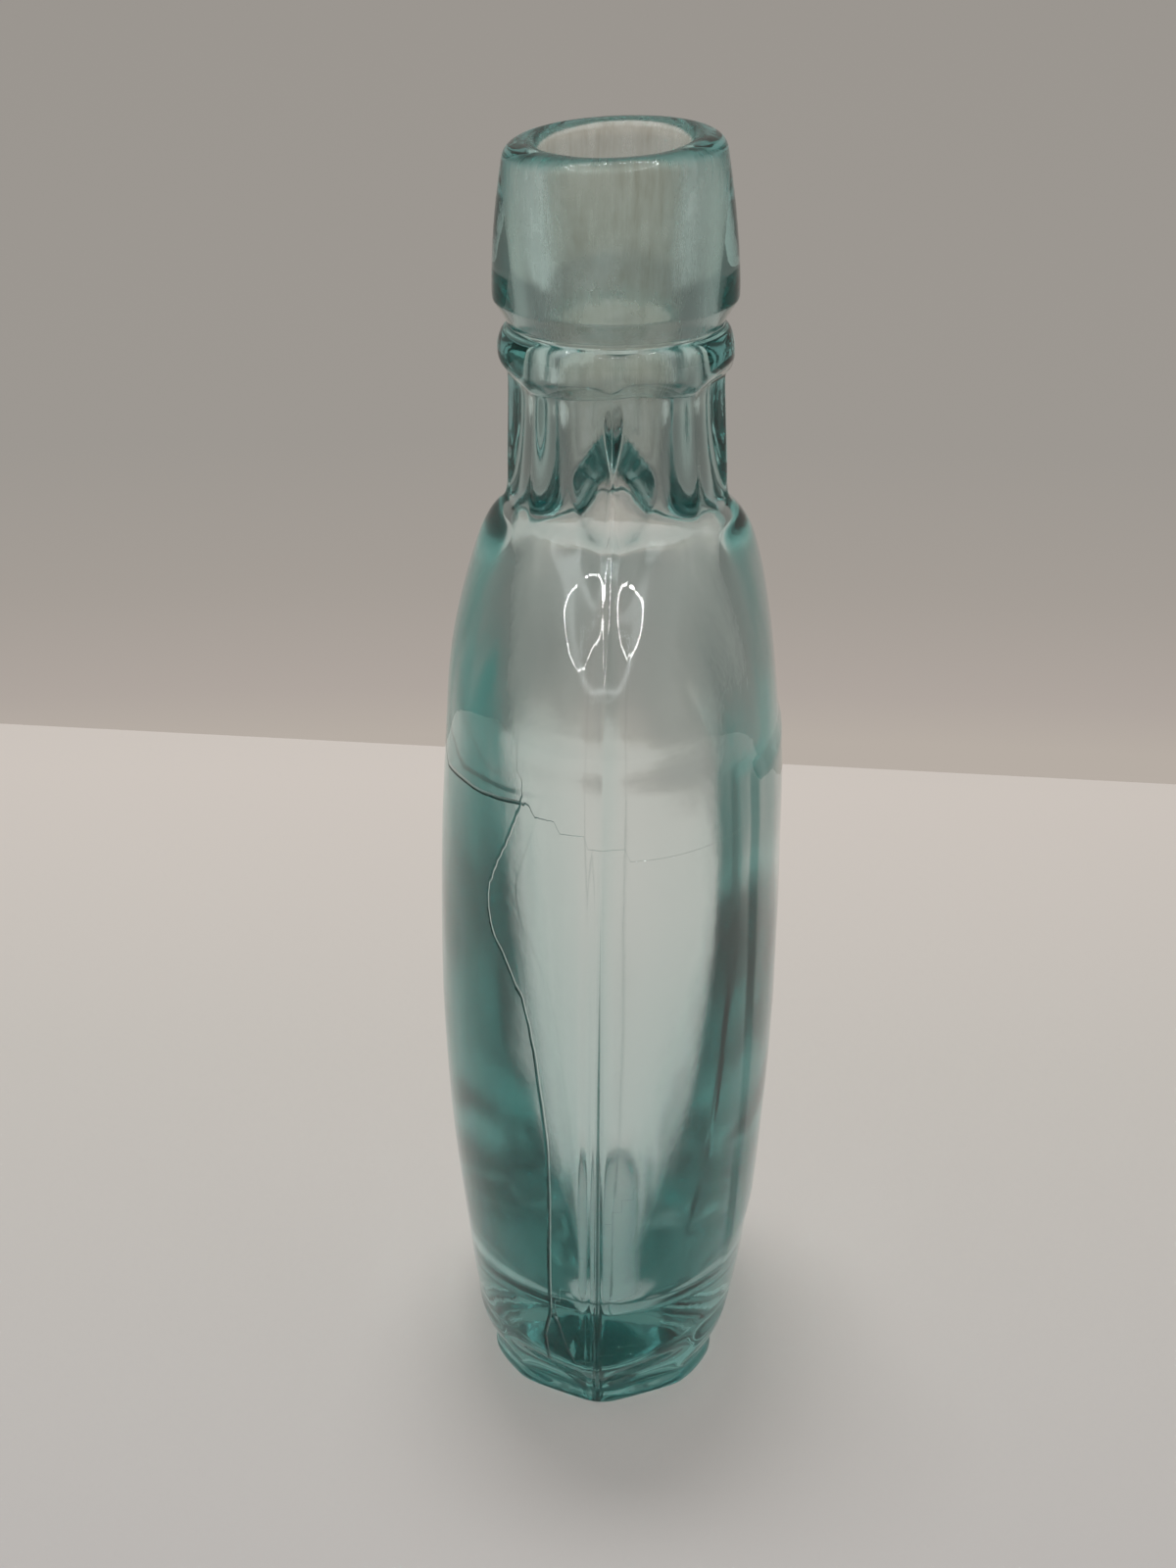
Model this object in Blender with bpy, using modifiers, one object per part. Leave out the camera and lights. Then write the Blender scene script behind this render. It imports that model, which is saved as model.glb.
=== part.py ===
"""Spirit flask of hand-finished glass: a mould-blown body, a ring laid round its neck and a tall laid-on lip.

Origin at the centre of the foot, on the table. +X runs along the flask's broad width, +Y through its
thickness and +Z up. All sizes are in metres.
"""

import math

import bmesh
import bpy

# Body outside
BODY_HEIGHT = 0.1181  # table to the root of the neck
BODY_WIDTH = 0.084
BODY_THICKNESS = 0.0464
WIDEST_HEIGHT = 0.085
THICKEST_HEIGHT = 0.064
HEEL_WIDTH = 0.0736
HEEL_THICKNESS = 0.0392
HEEL_HEIGHT = 0.008
OVAL_FULLNESS = 2.15  # 2 is a plain ellipse, and more is squarer

# Foot band and the recess under it
FOOT_WIDTH = 0.0648
FOOT_THICKNESS = 0.0306
FOOT_HEIGHT = 0.002
FOOT_PROUD = 0.0004  # how far the band stands out of the heel's curve
FOOT_EDGE = 0.0004  # rounding of the band's lower edge
FOOT_RIM = 0.0035  # width of the flat that rests on the table
RECESS_SLOPE = 0.0025
RECESS_DEPTH = 0.0018

# Glass thickness
SIDE_WALL = 0.006  # broad faces, where the flask is thickest
SIDE_WALL_LOW = 0.009  # broad faces, at the heel
END_WALL = 0.0048  # narrow ends, where the flask is widest
END_WALL_LOW = 0.0055  # narrow ends, at the heel
SHOULDER_WALL = 0.004
SHOULDER_FULLNESS = 3  # 2 rounds the inside in to the neck as an ellipse, and more is squarer
BASE_WALL = 0.006
INNER_HEEL = 0.008  # radius of the curve from the inner wall to the floor

# Neck, whose thin end runs up inside the ring and the lip
BORE_RADIUS = 0.0098
NECK_WALL = 0.0044  # at the corners between panels, under the ring
NECK_FLARE = 0.0005  # how much further out the corners are at the root
NECK_PANELS = 8
NECK_LENGTH = 0.0158  # root to the underside of the ring
SEAT_WIDTH = 0.0007  # ledge under the ring, at the middle of a panel
TUBE_IN_LIP = 0.014  # how far the thin end runs into the lip

# Ring and lip
RING_HEIGHT = 0.0067
RING_BULGE = 0.0014
LIP_HEIGHT = 0.0254
LIP_WALL = 0.0035  # glass outside the neck's thin end, where the lip is widest
LIP_TAPER = 0.0015  # how much the lip draws in from there to its rim
LIP_UNDERCUT = 0.002  # how far the sloped under-edge runs in
LIP_EDGE_HEIGHT = 0.0039  # height of that under-edge
RIM_OUTER_ROUND = 0.0012
RIM_INNER_ROUND = 0.0015
GAP = 0.0003  # clearance between laid-on glass and what it sits on

# Sizes that follow
NECK_RADIUS = BORE_RADIUS + NECK_WALL
TUBE_RADIUS = NECK_RADIUS * math.cos(math.pi / NECK_PANELS) - SEAT_WIDTH
NECK_TOP = BODY_HEIGHT + NECK_LENGTH
RING_TOP = NECK_TOP + RING_HEIGHT
TUBE_TOP = RING_TOP + TUBE_IN_LIP
TOTAL_HEIGHT = RING_TOP + LIP_HEIGHT
FLOOR_HEIGHT = RECESS_DEPTH + BASE_WALL
BORE_FOOT = BODY_HEIGHT - SHOULDER_WALL

# Faceting
POINTS_AROUND = 48
SHOULDER_STEPS = 8
BELLY_STEPS = 7
HEEL_STEPS = 4
EDGE_STEPS = 4
LIP_STEPS = 5
SHARP_ANGLE = math.radians(40)

GLASS_COLOR = (0.40, 0.62, 0.56, 1.0)
RING_COLOR = (0.30, 0.54, 0.49, 1.0)
LIP_COLOR = (0.34, 0.58, 0.52, 1.0)


def clear_scene():
    for obj in list(bpy.data.objects):
        bpy.data.objects.remove(obj, do_unlink=True)


def glass_material(name, color):
    material = bpy.data.materials.new(name)
    material.use_nodes = True
    shader = material.node_tree.nodes["Principled BSDF"]
    shader.inputs["Base Color"].default_value = color
    shader.inputs["Roughness"].default_value = 0.06
    shader.inputs["Metallic"].default_value = 0.0
    shader.inputs["IOR"].default_value = 1.5
    shader.inputs["Transmission Weight"].default_value = 0.9
    return material


def add_object(name, mesh, color, collection):
    obj = bpy.data.objects.new(name, mesh)
    obj.data.materials.append(glass_material(name + "_glass", color))
    collection.objects.link(obj)
    return obj


def steps(count):
    """Fractions from 0 to 1, both included."""
    return [index / count for index in range(count + 1)]


def oval_point(angle):
    """Point of a unit oval that is a little squarer than an ellipse."""
    power = 2 / OVAL_FULLNESS
    across, along = math.cos(angle), math.sin(angle)
    return math.copysign(abs(across) ** power, across), math.copysign(abs(along) ** power, along)


def panel_point(angle):
    """Point of a unit polygon with flat panels and a corner at angle zero, where the mould seam runs."""
    half_panel = math.pi / NECK_PANELS
    reach = math.cos(half_panel) / math.cos(angle % (2 * half_panel) - half_panel)
    return reach * math.cos(angle), reach * math.sin(angle)


def round_point(angle):
    return math.cos(angle), math.sin(angle)


def section(height, half_width, half_thickness, neck_point=round_point, neckness=0.0):
    """Points round the flask at one height. Neckness blends the body's oval (0) into the neck's shape (1)."""
    points = []
    for index in range(POINTS_AROUND):
        angle = 2 * math.pi * index / POINTS_AROUND
        oval_x, oval_y = oval_point(angle)
        neck_x, neck_y = neck_point(angle)
        x = half_width * (oval_x + (neck_x - oval_x) * neckness)
        y = half_thickness * (oval_y + (neck_y - oval_y) * neckness)
        points.append((x, y, height))
    return points


def wall(height, belly, belly_height, heel, neck, neck_height, fullness=2):
    """Distance from the axis to a wall that swells from the heel to the belly, then rounds in to the neck."""
    if height <= belly_height:
        drop = (belly_height - height) / (belly_height - HEEL_HEIGHT)
        return belly - (belly - heel) * drop * drop
    rise = (height - belly_height) / (neck_height - belly_height)
    return neck + (belly - neck) * max(0.0, 1 - rise ** fullness) ** (1 / fullness)


def outer_walls(height):
    """Half width and half thickness of the outside."""
    root = NECK_RADIUS + NECK_FLARE
    return (
        wall(height, BODY_WIDTH / 2, WIDEST_HEIGHT, HEEL_WIDTH / 2, root, BODY_HEIGHT),
        wall(height, BODY_THICKNESS / 2, THICKEST_HEIGHT, HEEL_THICKNESS / 2, root, BODY_HEIGHT),
    )


def inner_walls(height):
    """Half width and half thickness of the cavity."""
    belly_width = BODY_WIDTH / 2 - END_WALL
    heel_width = HEEL_WIDTH / 2 - END_WALL_LOW
    belly_thickness = BODY_THICKNESS / 2 - SIDE_WALL
    heel_thickness = HEEL_THICKNESS / 2 - SIDE_WALL_LOW
    return (
        wall(height, belly_width, WIDEST_HEIGHT, heel_width, BORE_RADIUS, BORE_FOOT),
        wall(height, belly_thickness, THICKEST_HEIGHT, heel_thickness, BORE_RADIUS, BORE_FOOT,
             SHOULDER_FULLNESS),
    )


def foot_sections():
    """From the recess out over the resting rim and up the foot band to the start of the heel's curve."""
    def inset(height, distance):
        return section(height, FOOT_WIDTH / 2 - distance, FOOT_THICKNESS / 2 - distance)

    return [
        inset(RECESS_DEPTH, FOOT_EDGE + FOOT_RIM + RECESS_SLOPE),
        inset(0, FOOT_EDGE + FOOT_RIM),
        inset(0, FOOT_EDGE),
        inset(FOOT_EDGE, 0),
        inset(FOOT_HEIGHT - FOOT_PROUD, 0),
        inset(FOOT_HEIGHT, FOOT_PROUD),
    ]


def outer_heel_sections():
    """Quarter ellipse that bulges from the top of the foot band out to the heel."""
    sections = []
    for step in steps(HEEL_STEPS)[1:]:
        turn = step * math.pi / 2
        height = FOOT_HEIGHT + (HEEL_HEIGHT - FOOT_HEIGHT) * (1 - math.cos(turn))
        half_width = FOOT_WIDTH / 2 - FOOT_PROUD
        half_thickness = FOOT_THICKNESS / 2 - FOOT_PROUD
        half_width += (HEEL_WIDTH / 2 - half_width) * math.sin(turn)
        half_thickness += (HEEL_THICKNESS / 2 - half_thickness) * math.sin(turn)
        sections.append(section(height, half_width, half_thickness))
    return sections


def rounded_heights(low, high):
    """Heights that lie closer together towards the top, where the shoulder turns in."""
    return [low + (high - low) * math.sin(step * math.pi / 2) for step in steps(SHOULDER_STEPS)]


def outer_sections():
    sections = foot_sections() + outer_heel_sections()
    for step in steps(BELLY_STEPS)[1:]:
        height = HEEL_HEIGHT + (WIDEST_HEIGHT - HEEL_HEIGHT) * step
        sections.append(section(height, *outer_walls(height)))
    for height in rounded_heights(WIDEST_HEIGHT, BODY_HEIGHT)[1:]:
        neckness = ((height - WIDEST_HEIGHT) / (BODY_HEIGHT - WIDEST_HEIGHT)) ** 8
        sections.append(section(height, *outer_walls(height), panel_point, neckness))
    sections.append(section(NECK_TOP, NECK_RADIUS, NECK_RADIUS, panel_point, 1))
    sections.append(section(NECK_TOP, TUBE_RADIUS, TUBE_RADIUS, round_point, 1))
    sections.append(section(TUBE_TOP, TUBE_RADIUS, TUBE_RADIUS, round_point, 1))
    return sections


def inner_sections():
    """From the top of the bore down to the floor."""
    wall_foot = FLOOR_HEIGHT + INNER_HEEL
    sections = [section(TUBE_TOP, BORE_RADIUS, BORE_RADIUS, round_point, 1)]
    for height in reversed(rounded_heights(WIDEST_HEIGHT, BORE_FOOT)):
        neckness = ((height - WIDEST_HEIGHT) / (BORE_FOOT - WIDEST_HEIGHT)) ** 2
        sections.append(section(height, *inner_walls(height), round_point, neckness))
    for step in steps(BELLY_STEPS)[1:]:
        height = WIDEST_HEIGHT + (wall_foot - WIDEST_HEIGHT) * step
        sections.append(section(height, *inner_walls(height)))
    half_width, half_thickness = inner_walls(wall_foot)
    for step in steps(HEEL_STEPS)[1:]:
        turn = step * math.pi / 2
        inward = INNER_HEEL * (1 - math.cos(turn))
        height = FLOOR_HEIGHT + INNER_HEEL * (1 - math.sin(turn))
        sections.append(section(height, half_width - inward, half_thickness - inward))
    return sections


def lofted_mesh(name, sections):
    """Closed mesh through the sections in turn, with the first and the last one filled."""
    form = bmesh.new()
    rings = [[form.verts.new(point) for point in points] for points in sections]
    for lower, upper in zip(rings, rings[1:]):
        for index in range(POINTS_AROUND):
            following = (index + 1) % POINTS_AROUND
            form.faces.new((lower[index], lower[following], upper[following], upper[index]))
    form.faces.new(reversed(rings[0]))
    form.faces.new(rings[-1])
    bmesh.ops.recalc_face_normals(form, faces=form.faces)
    mesh = bpy.data.meshes.new(name)
    form.to_mesh(mesh)
    form.free()
    mesh.shade_smooth()
    mesh.set_sharp_from_angle(angle=SHARP_ANGLE)
    return mesh


def turned_object(name, profile, color, collection):
    """Closed profile of (radius, height) points turned about the flask's axis."""
    count = len(profile)
    mesh = bpy.data.meshes.new(name)
    edges = [(index, (index + 1) % count) for index in range(count)]
    mesh.from_pydata([(radius, 0, height) for radius, height in profile], edges, [])
    obj = add_object(name, mesh, color, collection)
    screw = obj.modifiers.new("turn", "SCREW")
    screw.axis = "Z"
    screw.angle = 2 * math.pi
    screw.steps = POINTS_AROUND
    screw.render_steps = POINTS_AROUND
    screw.use_merge_vertices = True
    screw.merge_threshold = 0.00001
    screw.use_smooth_shade = True
    return obj


def ring_profile():
    """Half-round band, down its bulging outside and up its plain inside."""
    low, high = NECK_TOP + GAP, RING_TOP
    inside = TUBE_RADIUS + GAP
    profile = []
    for step in steps(2 * EDGE_STEPS):
        turn = step * math.pi
        height = (low + high) / 2 + (high - low) / 2 * math.cos(turn)
        profile.append((NECK_RADIUS + RING_BULGE * math.sin(turn), height))
    return profile + [(inside, low), (inside, high)]


def lip_profile():
    """Down the lip's outside from its rim, in under its edge, up over the neck's thin end and up the bore."""
    low = RING_TOP + GAP
    widest_height = RING_TOP + LIP_EDGE_HEIGHT
    widest = TUBE_RADIUS + GAP + LIP_WALL
    rim = widest - LIP_TAPER
    profile = []
    for step in steps(EDGE_STEPS):
        turn = step * math.pi / 2
        radius = rim - RIM_OUTER_ROUND * (1 - math.sin(turn))
        profile.append((radius, TOTAL_HEIGHT - RIM_OUTER_ROUND * (1 - math.cos(turn))))
    rim_foot = TOTAL_HEIGHT - RIM_OUTER_ROUND
    for step in steps(LIP_STEPS)[1:]:
        radius = rim + LIP_TAPER * math.sin(step * math.pi / 2)
        profile.append((radius, rim_foot + (widest_height - rim_foot) * step))
    for step in steps(EDGE_STEPS)[1:]:
        turn = step * math.pi / 2
        radius = widest - LIP_UNDERCUT * (1 - math.cos(turn))
        profile.append((radius, widest_height + (low - widest_height) * math.sin(turn)))
    profile.append((TUBE_RADIUS + GAP, low))
    profile.append((TUBE_RADIUS + GAP, TUBE_TOP + GAP))
    profile.append((BORE_RADIUS, TUBE_TOP + GAP))
    for step in steps(EDGE_STEPS):
        turn = step * math.pi / 2
        height = TOTAL_HEIGHT - RIM_INNER_ROUND * (1 - math.sin(turn))
        profile.append((BORE_RADIUS + RIM_INNER_ROUND * (1 - math.cos(turn)), height))
    return profile


def build():
    clear_scene()
    flask = bpy.data.collections.new("spirit_flask")
    bpy.context.scene.collection.children.link(flask)
    body_mesh = lofted_mesh("flask_body", outer_sections() + inner_sections())
    add_object("flask_body", body_mesh, GLASS_COLOR, flask)
    turned_object("neck_ring", ring_profile(), RING_COLOR, flask)
    turned_object("applied_lip", lip_profile(), LIP_COLOR, flask)


build()
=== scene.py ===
"""Spirit flask of hand-finished aqua glass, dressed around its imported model.

The flask is one piece of glass, fused hot, so one closed mesh stands for its body, neck ring and lip. Its skin
is drawn ring by ring from a circle: out under the foot, up the body and the neck, over the rim, and down
inside to the floor. What the maker's mould and tools left on it is then worked into that mesh.

Everything is in metres, in the model's frame: +X along the broad width, +Y through the thickness, +Z up.
"""

import math

import bpy
import numpy as np
from mathutils import Matrix, Vector


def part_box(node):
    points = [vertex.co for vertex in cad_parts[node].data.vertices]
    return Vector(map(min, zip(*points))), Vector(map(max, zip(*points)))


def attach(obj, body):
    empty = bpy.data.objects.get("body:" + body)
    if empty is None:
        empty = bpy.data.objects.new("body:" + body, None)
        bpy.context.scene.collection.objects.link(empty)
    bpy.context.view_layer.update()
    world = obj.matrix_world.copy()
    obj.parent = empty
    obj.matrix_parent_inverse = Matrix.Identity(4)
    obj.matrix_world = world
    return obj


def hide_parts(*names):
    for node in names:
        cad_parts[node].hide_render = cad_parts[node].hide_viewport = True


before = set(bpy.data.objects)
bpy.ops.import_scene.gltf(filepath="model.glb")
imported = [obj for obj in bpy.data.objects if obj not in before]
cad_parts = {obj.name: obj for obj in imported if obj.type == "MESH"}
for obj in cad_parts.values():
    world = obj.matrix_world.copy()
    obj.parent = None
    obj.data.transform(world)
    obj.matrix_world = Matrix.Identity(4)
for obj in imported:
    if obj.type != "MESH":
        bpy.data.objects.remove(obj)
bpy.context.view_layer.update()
MM = 0.001

# Sizes read from the model
BODY_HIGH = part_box("flask_body")[1]
RING_LOW, RING_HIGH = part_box("neck_ring")
LIP_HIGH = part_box("applied_lip")[1]
BODY_HALF_WIDTH = BODY_HIGH.x
BODY_HALF_THICKNESS = BODY_HIGH.y
RING_RADIUS = RING_HIGH.x
LIP_RADIUS = LIP_HIGH.x
TOTAL_HEIGHT = LIP_HIGH.z
JOINT_GAP = 0.3 * MM  # the model's solids stand this far apart
NECK_TOP = RING_LOW.z - JOINT_GAP
RING_TOP = RING_HIGH.z

# Foot and heel, the same forms as the model's
FOOT_HALF_WIDTH = 32.4 * MM
FOOT_HALF_THICKNESS = 15.3 * MM
FOOT_HEIGHT = 2 * MM
FOOT_PROUD = 0.4 * MM
FOOT_RIM = 3.5 * MM
RECESS_SLOPE = 5 * MM
RECESS_DEPTH = 0.3 * MM
HEEL_HALF_WIDTH = 36.8 * MM
HEEL_HALF_THICKNESS = 18.7 * MM
HEEL_HEIGHT = 8 * MM
HEEL_CURVE = ((3, 0.13), (4.2, 0.35), (5.4, 0.59), (6.7, 0.82), (8, 1.0))  # height in mm, share of the way out

# Foot's plan, with shares of its thickness
FOOT_SLIMMER = 0.065  # its middle is this much slimmer
FOOT_FULLER = 0.15  # its quarters are this much fuller than its middle
FOOT_POINTED = 0.67  # each end is drawn in by this much to a blunt point at the seam
FOOT_SHIFT = 0.3 * MM  # its ends lie this much nearer -Y
FOOT_FADE = 3 * MM, 9 * MM  # above it, that plan gives way to the body's

# Body
WIDEST_HEIGHT = 85 * MM
THICKEST_HEIGHT = 64 * MM
OVAL_FULLNESS = 2.15  # 2 is an ellipse, and more is squarer
HOLLOW_CHEEK = 0.45 * MM  # the lower body is this much thinner than a round belly would make it
SHOULDER_SWELL = 0.55 * MM  # the shoulder is this much fuller on the plain side
BELLY_FLATTER = 0.45 * MM  # the belly is this much flatter on the side with the plate
ROOT_HEIGHT = 117.1 * MM
ROOT_RADIUS = 14.7 * MM

# Neck, ring and lip
NECK_RADIUS = 14.2 * MM
NECK_PANELS = 8
PANEL_SOFTNESS = 40  # more makes the corners between the panels sharper
LIP_CURVE = ((0.4, 2.1), (1.5, 1.5), (2.8, 0.7), (3.3, 0.34), (3.65, 0.12), (4.1, 0.02))  # mm up, mm in
LIP_WIDEST_HEIGHT = RING_TOP + 3.9 * MM
LIP_RIM_RADIUS = 14.72 * MM
RIM_ROUND = 2.3 * MM

# Bore, with its heights and radii in millimetres down to the funnel that opens into the shoulder
BORE_RADIUS = 9.8 * MM
BORE_ROUND = 1.8 * MM
BORE_CURVE = ((160, 9.7), (153, 9.25), (146, 8.7), (139, 8.1), (132, 7.5), (127, 7.3), (123, 7.3), (120, 7.4),
              (117.5, 7.6), (115.6, 7.8))
BORE_FOOT = 113.7 * MM
FUNNEL_SPREAD = 6.9 * MM
FUNNEL_REACH = 4.5 * MM

# Thickness of the glass
END_WALLS = ((8 * MM, 20 * MM, 40 * MM, 75 * MM, 105 * MM, 118 * MM),  # heights
             (9 * MM, 6.5 * MM, 3.2 * MM, 2.5 * MM, 2.9 * MM, 4.2 * MM))  # thicknesses
SIDE_WALLS = ((8 * MM, 22 * MM, 45 * MM, 70 * MM, 95 * MM, 118 * MM),
              (10 * MM, 7.8 * MM, 6.1 * MM, 5 * MM, 4.5 * MM, 4.8 * MM))
CAVITY_SHIFT = 0.7 * MM  # the cavity lies this much nearer the plate, low down
FLOOR_HEIGHT = 9 * MM
FLOOR_TILT = 0.14  # the glass lies thicker at the -X end of the floor, by this much for each metre along
INNER_HEEL = 5 * MM
INNER_HEEL_SIDE = 6.8 * MM
UNDER_CAVITY = FLOOR_HEIGHT - 0.5 * MM  # all the skin below this height is outside

# Root of the neck, where the narrow ends sweep out
SWEEP = 5 * MM
SWEEP_REACH = 7 * MM  # how far up the neck it reaches at the seam
SWEEP_DROP = 1.1  # and how much less far for each metre to the side
SWEEP_FADE = 9 * MM  # it dies away over this height
SWEEP_SHOULDER = 14 * MM  # it begins where the body is this much wider than the neck
INNER_SWEEP = 2 * MM
INNER_SWEEP_TOP = 122 * MM, 129.5 * MM

# Groove inside the -X end, like a roof's underside, which narrows to a peak in the neck
GROOVE_TOP = 130.5 * MM
GROOVE_FOOT = 104 * MM, 119 * MM  # it dies away downwards between these heights
GROOVE_SPREAD = 0.6  # half its width for each metre below its top
GROOVE_HALF_WIDTH = 4.8 * MM  # at most
GROOVE_STEEPNESS = 1.15  # its depth for each metre in from its side

# Mould seams, each a broad swell and a fine edge with a fainter one beside it
SEAM_SWELL = 0.72 * MM
SEAM_REACH = 1.5 * MM
SEAM_HEIGHT = 0.42 * MM
SEAM_EDGE_REACH = 0.38 * MM
SECOND_EDGE_PLACE = 1.5 * MM
SECOND_EDGE_REACH = 0.45 * MM
SECOND_EDGE_SHARE = 0.55
SEAM_CROWDING = 0.41  # how strongly the skin's points are drawn together at the seams
SEAM_CROWDING_REACH = 0.28

# Plain raised plate on the broad face at -Y
PLATE_LOW = 18.5 * MM
PLATE_HIGH = 86.7 * MM
PLATE_HALF_WIDTH = 22.5 * MM
PLATE_PROUD = 0.35 * MM
PLATE_EDGE = 0.5 * MM

# What the hand tools left
RING_SAG = 0.9 * MM
LEAN_START = 116 * MM
LEAN_SIDE = 0.017  # the neck leans this much to +Y, in metres for each metre up
LEAN_END = 0.026  # and this much to -X
LEAN_SHARE = 0.9  # the neck's rings tip with it by this share
RIM_TILT = 0.04  # the rim is lower at +Y
RIM_TILT_END = 0.02  # and higher at +X
RIM_DROP = 0.9 * MM  # the tilted rim is this much lower, to stay within the flask's height

# Old crack through the plain side, as points in millimetres along it on the outside
CRACKS = {
    "crack_top": ((-3, 23, 90), (-8, 22.5, 87), (-16, 21.1, 84.6), (-23.5, 19, 85.5), (-32.5, 14.6, 86.2),
                  (-37, 10.6, 86.9)),
    "crack_side": ((-37, 10.6, 86.9), (-35.3, 12.5, 80.9), (-33.9, 13.9, 77.7), (-32.5, 15, 73.8),
                   (-32.3, 15.1, 72), (-33.2, 14.5, 68), (-34.9, 13.1, 66), (-36.6, 11.4, 62.7),
                   (-37.9, 9.8, 59.2), (-38.6, 8.4, 52.7), (-38.8, 7.4, 46), (-38.7, 6.7, 40.4),
                   (-38.1, 6.4, 33.2), (-36.8, 6.4, 21.3), (-36.1, 6.2, 15.2), (-35.1, 7, 11.8),
                   (-34.8, 6.5, 8.8), (-30.8, 5.3, 4.6), (-31, 1.3, 1.9)),
    "crack_foot": ((-36.1, 6.2, 15.2), (-36.5, 5.4, 14.7), (-36.3, 4.4, 11.1), (-36, 2.9, 7.8)),
}
OUT_OF_REACH = 0.1  # added to a line's distance on the inside, so that the line is drawn on the outside only

# Dullness of the inside: height in millimetres, and share of the dullest
WEAR_LOW = 110 * MM
WEAR_HIGH = 170 * MM
WEAR = ((110, 0.38), (118, 0.12), (133, 0.15), (136, 0.1), (141, 0.1), (145.5, 0.55), (151, 0.6))
SMOOTHEST = 0.02  # roughness of clean glass
DULLEST = 0.3  # and of glass under a dried film
HAIRLINE_EDGE = 0.3 * MM  # half the width of a crack's line
HAIRLINE_CORE = 0.08 * MM  # and of its darkest part

RING_POINTS = 56
SKIN_LEVELS = 2

# The camera's place is worked out from the flask's outline in the photograph
CAMERA_DISTANCE = 528 * MM
CAMERA_HEIGHT = 261 * MM
CAMERA_PITCH = math.radians(19.23)
CAMERA_TURN = math.radians(2.0)
CAMERA_PAN = math.radians(0.378)
CAMERA_ROLL = math.radians(0.6)
SENSOR_WIDTH = 36  # in millimetres, as Blender takes it
FOCAL_SHARE = 4215 / 1600  # focal length over the picture's long side

# Floor
FLOOR_SIZE = 3.0
FLOOR_BEHIND = 236 * MM
FLOOR_SLANT = math.radians(6.9)
FLOOR_GAP = 0.1 * MM  # a film of air under the foot, which keeps the light inside the glass

# Lamps
LED_COUNT = 110
LED_RING = 0.57, 0.5  # half its length along X and along Y
LED_PLACE = (-0.39, 0.09, 0.95)
LED_SIZE = 20 * MM
LED_POWER = 0.04
PANEL_PLACE = (0.22, 0.05, 1.0)
PANEL_SIZE = 0.3
PANEL_POWER = 3.8
FILL_POWER = 1.9

# Room: the backdrop's colour by rise, from -1 for straight down to 1 for straight up, and its strength by bearing
# in degrees from the line of sight
BACKDROP_LOW = -0.35
BACKDROP_HIGH = 1.0
BACKDROP = ((-0.318, "#B6ADA4"), (-0.307, "#AEA59E"), (-0.284, "#A49D96"), (-0.25, "#9D9892"),
            (-0.15, "#9B9690"), (0.35, "#9B9690"), (0.8, "#959490"))
BACKDROP_STRENGTH = ((0, 1.0), (15, 1.0), (35, 0.65), (60, 0.5), (90, 0.45), (125, 0.3), (180, 0.25))
ROOM_COLOR = "#81807E"


def srgb(code, alpha=1.0):
    """Linear colour from a hex colour."""
    parts = [int(code[place:place + 2], 16) / 255 for place in (1, 3, 5)]
    return [part / 12.92 if part <= 0.04045 else ((part + 0.055) / 1.055) ** 2.4 for part in parts] + [alpha]


def grey(level):
    """Linear grey, for a ramp that carries a number."""
    return level, level, level, 1


def add_node(tree, kind, settings=None, links=None):
    """Adds a shader node with its settings, which name its properties or inputs, and what feeds its inputs.

    An input goes by its name, or by its number where names repeat. A ramp's stops are places and colours.
    """
    node = tree.nodes.new(kind)
    for name, value in (settings or {}).items():
        if name == "stops":
            elements = node.color_ramp.elements
            while len(elements) < len(value):
                elements.new(0.5)
            for element, (place, color) in zip(elements, value):
                element.position = place
                element.color = color
        elif isinstance(name, int) or name in node.inputs:
            node.inputs[name].default_value = value
        else:
            setattr(node, name, value)
    for name, source in (links or {}).items():
        tree.links.new(source, node.inputs[name])
    return node


def ease(value, low, high):
    """0 below low, 1 above high, and a smooth step between them."""
    share = np.clip((value - low) / (high - low), 0, 1)
    return share * share * (3 - 2 * share)


def fraction_steps(count):
    """Even steps from above 0 up to 1."""
    return [index / count for index in range(1, count + 1)]


def profile(belly, belly_height, heel):
    """Heights and half sizes of the outside, which swells from the heel to the belly and rounds in to the neck."""
    drop = np.linspace(1, 0, 60)
    turn = np.linspace(0, math.pi / 2, 90)[1:]
    heights = np.concatenate((
        belly_height - (belly_height - HEEL_HEIGHT) * drop,
        belly_height + (ROOT_HEIGHT - belly_height) * np.sin(turn),
    ))
    halves = np.concatenate((
        belly - (belly - heel) * drop ** 2,
        ROOT_RADIUS + (belly - ROOT_RADIUS) * np.cos(turn),
    ))
    return heights, halves


def inset_profile(heights, halves, thickness):
    """The same line moved in by the thickness of the glass, square to the line."""
    rise, spread = np.gradient(heights), np.gradient(halves)
    length = np.hypot(rise, spread)
    return heights + spread / length * thickness, halves - rise / length * thickness


WIDTH_PROFILE = profile(BODY_HALF_WIDTH, WIDEST_HEIGHT, HEEL_HALF_WIDTH)
THICKNESS_PROFILE = profile(BODY_HALF_THICKNESS, THICKEST_HEIGHT, HEEL_HALF_THICKNESS)
END_GLASS = np.interp(WIDTH_PROFILE[0], *END_WALLS)
SIDE_GLASS = np.interp(THICKNESS_PROFILE[0], *SIDE_WALLS)
INNER_WIDTH_PROFILE = inset_profile(*WIDTH_PROFILE, END_GLASS)
INNER_THICKNESS_PROFILE = inset_profile(*THICKNESS_PROFILE, SIDE_GLASS)


def outer_walls(height):
    """Half width and half thickness of the outside."""
    return float(np.interp(height, *WIDTH_PROFILE)), float(np.interp(height, *THICKNESS_PROFILE))


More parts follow.
